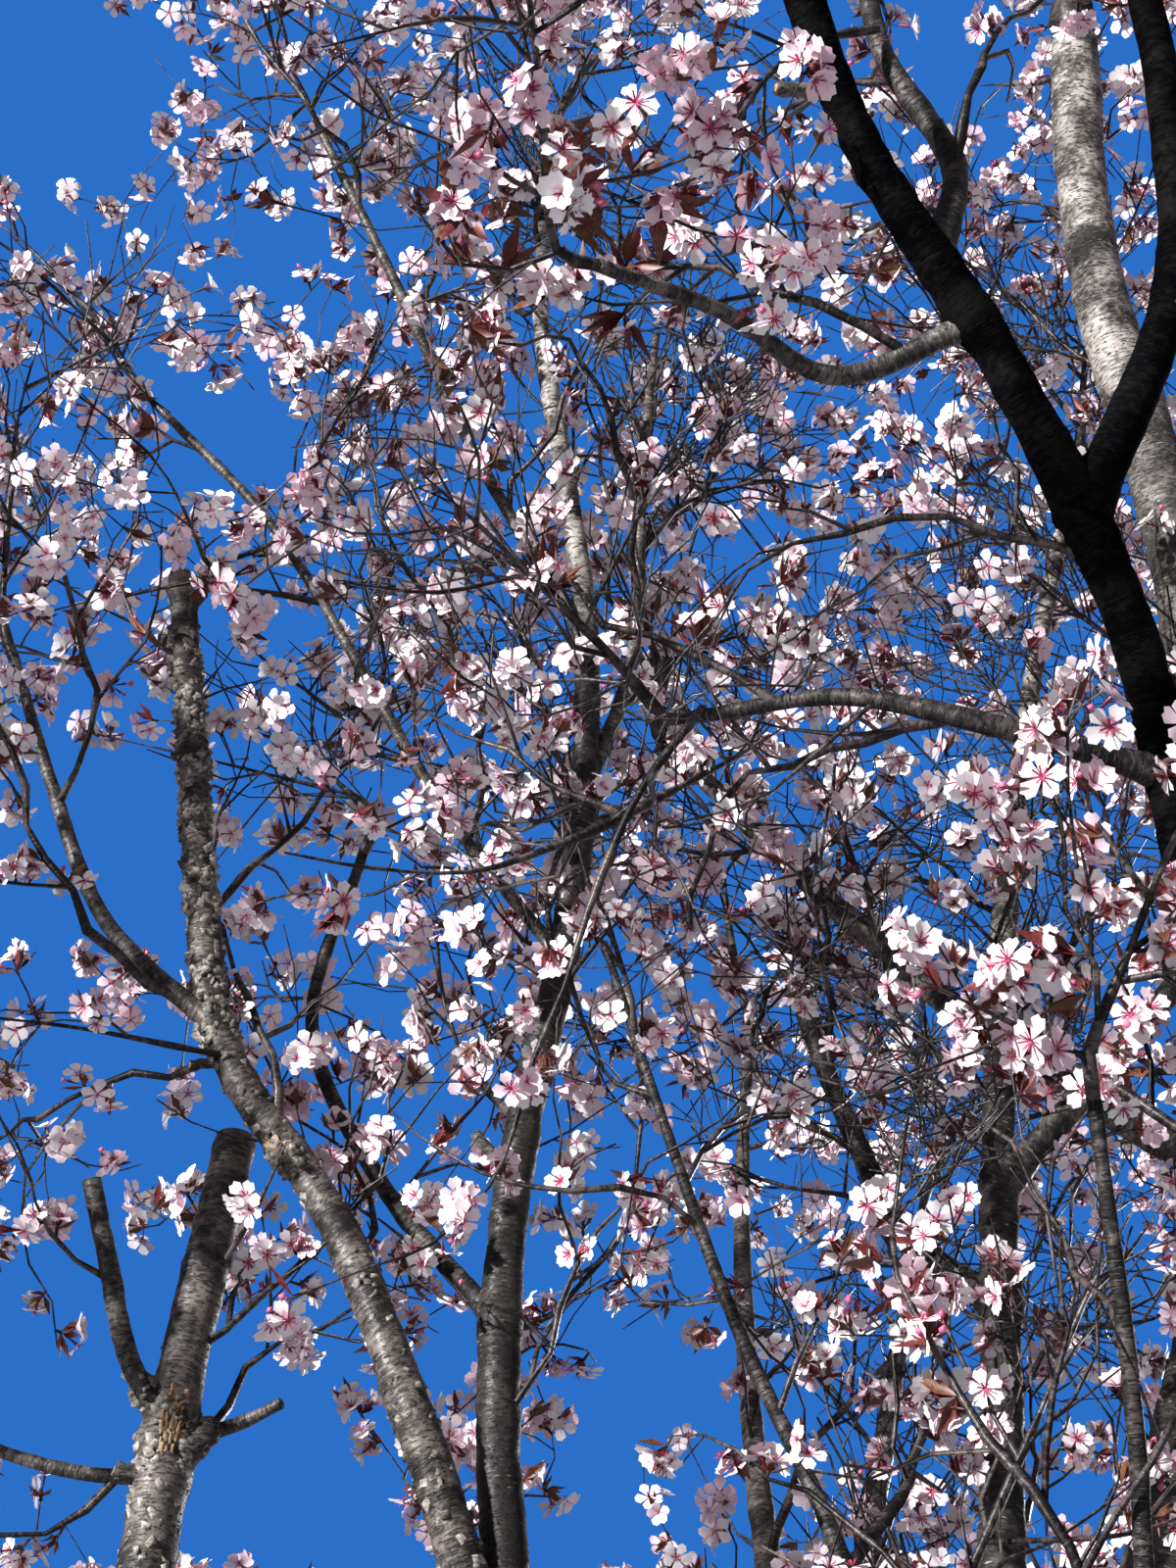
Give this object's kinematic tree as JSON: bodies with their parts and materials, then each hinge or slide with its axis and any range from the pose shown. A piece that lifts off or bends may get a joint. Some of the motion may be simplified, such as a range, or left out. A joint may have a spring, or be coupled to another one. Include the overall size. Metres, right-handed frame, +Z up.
{
  "type": "cherry blossom tree",
  "caption": "Rooted cherry tree in full blossom: a short flared trunk, leaning boughs that cross, and an open rounded crown of pale pink blossom.",
  "frame": {"origin": "middle of the flat cut under the trunk, at ground level", "axes": "+Z up along the trunk. +X is to the right and +Y away from a person who stands in front of the trunk and looks up into the crown."},
  "size_m": [5.0736, 5.5218, 7.073],
  "materials": {
    "bark": "silver grey-brown, faintly glossy, with horizontal lenticels, rough and darker low down",
    "blossom": "thin pale pink petals, soft and slightly translucent"
  },
  "bodies": {
    "root": {"trunk": "bark", "leader_bough": "bark", "left_bough": "bark", "right_bough": "bark", "front_right_bough": "bark", "back_right_bough": "bark", "back_bough": "bark", "back_left_bough": "bark", "front_left_bough": "bark", "crossing_bough": "bark", "crossing_left_branch": "bark", "left_stub": "bark", "left_low_branch": "bark", "left_inner_branch": "bark", "leader_low_branch": "bark", "leader_left_branch": "bark", "leader_high_branch": "bark", "leader_right_branch": "bark", "right_near_branch": "bark", "right_low_branch": "bark", "right_inner_branch": "bark", "right_outer_branch": "bark", "back_right_inner_branch": "bark", "back_right_outer_branch": "bark", "front_right_fork": "bark", "front_right_grey_branch": "bark", "front_right_left_branch": "bark", "front_right_low_branch": "bark", "front_right_near_branch": "bark", "front_outer_branch": "bark", "back_inner_branch": "bark", "back_left_outer_branch": "bark", "front_left_inner_branch": "bark", "leader_blossom": "blossom", "right_blossom": "blossom", "front_right_blossom": "blossom", "back_right_blossom": "blossom", "back_blossom": "blossom", "back_left_blossom": "blossom", "front_left_blossom": "blossom", "crossing_left_blossom": "blossom", "left_low_blossom": "blossom", "left_inner_blossom": "blossom", "leader_low_blossom": "blossom", "leader_left_blossom": "blossom", "leader_high_blossom": "blossom", "right_near_blossom": "blossom", "right_inner_blossom": "blossom", "right_outer_blossom": "blossom", "back_right_inner_blossom": "blossom", "back_right_outer_blossom": "blossom", "front_right_fork_blossom": "blossom", "front_right_left_blossom": "blossom", "front_right_low_blossom": "blossom", "front_right_near_blossom": "blossom", "front_outer_blossom": "blossom", "back_inner_blossom": "blossom", "back_left_outer_blossom": "blossom", "front_left_inner_blossom": "blossom"}
  },
  "joints": []
}
